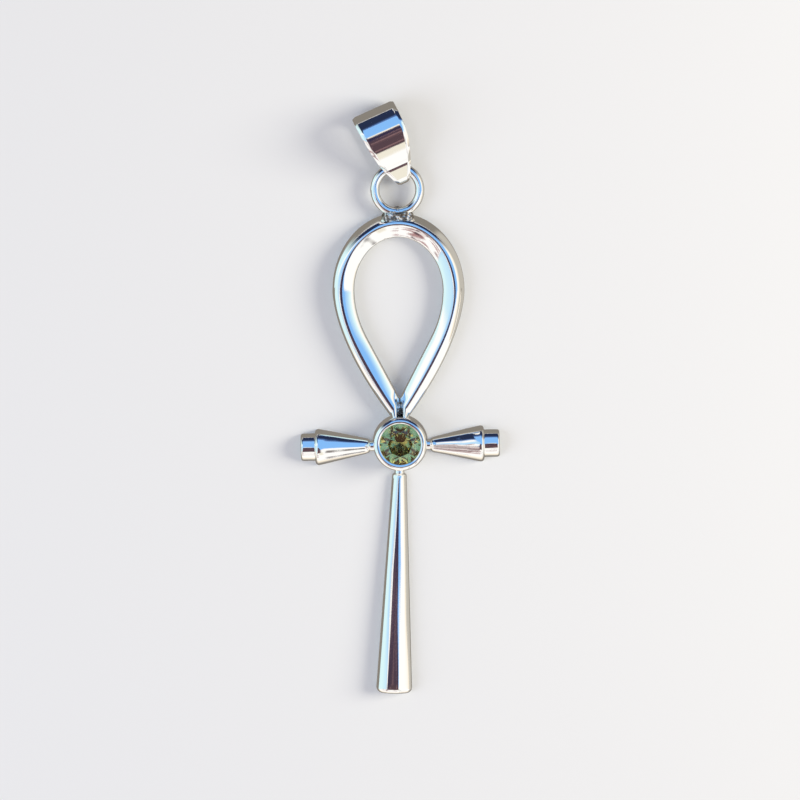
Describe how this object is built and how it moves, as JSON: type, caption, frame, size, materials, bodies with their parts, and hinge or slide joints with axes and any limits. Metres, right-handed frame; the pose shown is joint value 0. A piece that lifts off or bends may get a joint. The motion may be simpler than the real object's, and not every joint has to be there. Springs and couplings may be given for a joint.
{
  "type": "ankh pendant",
  "caption": "Polished silver ankh pendant: teardrop loop, trumpet arms and stem round a bezel with a round green stone, on a jump ring with a folded bail.",
  "frame": {"origin": "middle of the bezel's flat back, on the surface the pendant lies on", "axes": "+Y along the pendant from the stem up to the bail, +X towards the right arm seen from the front, +Z out of the front, away from the surface"},
  "size_m": [0.0184, 0.0548, 0.0037],
  "materials": {
    "silver": "mirror polished",
    "stone": "faceted and polished"
  },
  "bodies": {
    "root": {"ankh_frame": "silver", "stone": "stone", "bail": "silver"}
  },
  "joints": []
}
